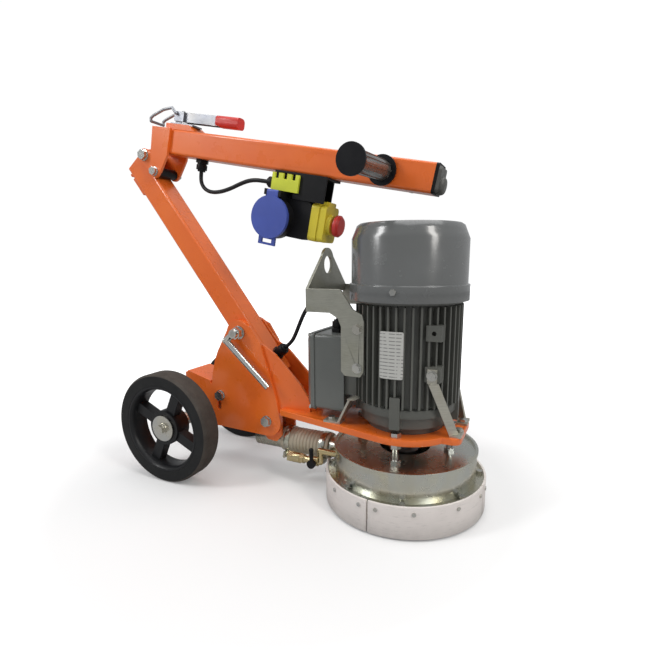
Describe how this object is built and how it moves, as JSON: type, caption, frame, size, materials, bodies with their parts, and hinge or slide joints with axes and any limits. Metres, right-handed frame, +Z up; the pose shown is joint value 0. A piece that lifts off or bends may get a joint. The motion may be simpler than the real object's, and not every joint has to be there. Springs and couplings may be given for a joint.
{
  "type": "concrete floor grinder",
  "caption": "Walk-behind concrete floor grinder with a vertical electric motor over a skirted grinding disc, a wheel frame and a tube handle that folds forward.",
  "frame": {"origin": "on the floor at the middle of the machine's box", "axes": "+X forward from the wheels to the grinding head, +Y to the left side, +Z up"},
  "size_m": [0.7976, 0.338, 0.7713],
  "materials": {
    "orange_paint": "glossy orange powder coat, scuffed at the edges",
    "motor_grey": "warm dark grey enamel on cast aluminium",
    "cover_grey": "glossy steel grey enamel",
    "box_grey": "satin grey enamel",
    "raw_steel": "mill finish sheet steel",
    "zinc": "mottled bright zinc plating",
    "bolt_zinc": "bright zinc plated fasteners",
    "white_skirt": "scuffed white plastic",
    "black_rim": "black moulded wheel",
    "tyre": "dusty dark rubber",
    "black_plastic": "fine grained black plastic",
    "grip": "ribbed grey brown grip",
    "red": "red moulded plastic",
    "blue": "blue moulded plastic",
    "yellow": "yellow moulded plastic",
    "lime": "yellow green moulded plastic",
    "green": "green push button",
    "brass": "nickel and brass water fittings",
    "hose": "cream ribbed hose",
    "cable": "black rubber sheath",
    "dark_steel": "machined steel",
    "copper": "wound stator",
    "diamond": "sintered diamond segments on a steel disc"
  },
  "bodies": {
    "head": {"gusset_plates": "orange_paint", "base_plate": "orange_paint", "frame_bolts": "bolt_zinc", "motor_frame": "motor_grey", "stator": "copper", "end_shields": "motor_grey", "fan_cover": "cover_grey", "terminal_box": "box_grey", "terminal_lid": "box_grey", "run_capacitor": "black_plastic", "cable_glands": "black_plastic", "motor_fasteners": "bolt_zinc", "lifting_bracket": "raw_steel", "motor_stays": "zinc", "hood": "zinc", "skirt_ring": "zinc", "skirt_segments": "white_skirt", "hood_fasteners": "bolt_zinc", "suction_hose": "hose", "hose_clamps": "zinc", "dust_spigot": "zinc", "water_line": "brass", "motor_bearings": "dark_steel", "column_tube": "orange_paint", "motor_cable": "cable"},
    "tap": {"tap_lever": "black_plastic"},
    "rotor": {"rotor_shaft": "dark_steel", "cooling_fan": "black_plastic", "disc_holder": "dark_steel", "grinding_disc": "diamond"},
    "wheel_frame": {"side_plates": "orange_paint", "axle": "bolt_zinc", "wheel_bearings": "dark_steel"},
    "right_wheel": {"wheel_right": "black_rim", "tyre_right": "tyre"},
    "left_wheel": {"wheel_left": "black_rim", "tyre_left": "tyre"},
    "clamp": {"clamp_lever": "bolt_zinc"},
    "handle": {"handle_tube": "orange_paint", "hinge_ears": "orange_paint", "hinge_bolts": "bolt_zinc", "stop_roller": "black_plastic", "latch_base": "zinc", "cross_bar": "black_plastic", "hand_grips": "grip", "end_cap": "black_plastic", "handle_glands": "black_plastic", "switch_bracket": "black_plastic", "lock_plate": "lime", "switch_body": "black_plastic", "inlet_pins": "brass", "switch_housing": "yellow", "switch_cable": "cable"},
    "latch": {"latch_lever": "zinc", "latch_grip": "red"},
    "hook": {"latch_hook": "bolt_zinc"},
    "lid": {"socket_lid": "blue"},
    "flap": {"switch_flap": "yellow"},
    "stop": {"stop_button": "red"},
    "start": {"start_button": "green"}
  },
  "joints": [
    {"name": "spindle_spin", "type": "hinge", "parent": "head", "child": "rotor", "pos_m": [0.24498, 0, 0.1], "axis": [0, 0, 1], "continuous": true},
    {"name": "wheel_frame_tilt", "type": "hinge", "parent": "head", "child": "wheel_frame", "pos_m": [-0.04402, 0, 0.121], "axis": [0, 1, 0], "range_deg": [0, 6]},
    {"name": "right_wheel_spin", "type": "hinge", "parent": "wheel_frame", "child": "right_wheel", "pos_m": [-0.22502, -0.131, 0.115], "axis": [0, 1, 0], "continuous": true},
    {"name": "left_wheel_spin", "type": "hinge", "parent": "wheel_frame", "child": "left_wheel", "pos_m": [-0.22502, 0.131, 0.115], "axis": [0, 1, 0], "continuous": true},
    {"name": "clamp_turn", "type": "hinge", "parent": "head", "child": "clamp", "pos_m": [-0.10502, -0.05, 0.306], "axis": [0, -1, 0], "range_deg": [0, 90]},
    {"name": "tap_turn", "type": "hinge", "parent": "head", "child": "tap", "pos_m": [0.07298, -0.06, 0.057], "axis": [0, -1, 0], "range_deg": [0, 90]},
    {"name": "handle_fold", "type": "hinge", "parent": "head", "child": "handle", "pos_m": [-0.34047, 0, 0.67827], "axis": [0, -1, 0], "range_deg": [0, 138.4]},
    {"name": "latch_lever_turn", "type": "hinge", "parent": "handle", "child": "latch", "pos_m": [-0.25779, 0, 0.74933], "axis": [0, -1, 0], "range_deg": [0, 100]},
    {"name": "latch_hook_turn", "type": "hinge", "parent": "latch", "child": "hook", "pos_m": [-0.25739, 0, 0.75639], "axis": [0, -1, 0], "range_deg": [-130, 0]},
    {"name": "lid_turn", "type": "hinge", "parent": "handle", "child": "lid", "pos_m": [0.00062, -0.057, 0.57889], "axis": [-0.9803, 0, 0.1977], "range_deg": [0, 100]},
    {"name": "flap_turn", "type": "hinge", "parent": "handle", "child": "flap", "pos_m": [0.09295, 0, 0.55619], "axis": [0, -1, 0], "range_deg": [0, 80]},
    {"name": "stop_press", "type": "slide", "parent": "flap", "child": "stop", "axis": [-0.9803, 0, 0.1977], "range_m": [0, 0.005], "stiffness_N_per_m": 400},
    {"name": "start_press", "type": "slide", "parent": "handle", "child": "start", "axis": [-0.9803, 0, 0.1977], "range_m": [0, 0.003], "stiffness_N_per_m": 400}
  ],
  "couplings": [
    {"joint": "latch_hook_turn", "follows": "latch_lever_turn", "ratio": -1.3}
  ]
}
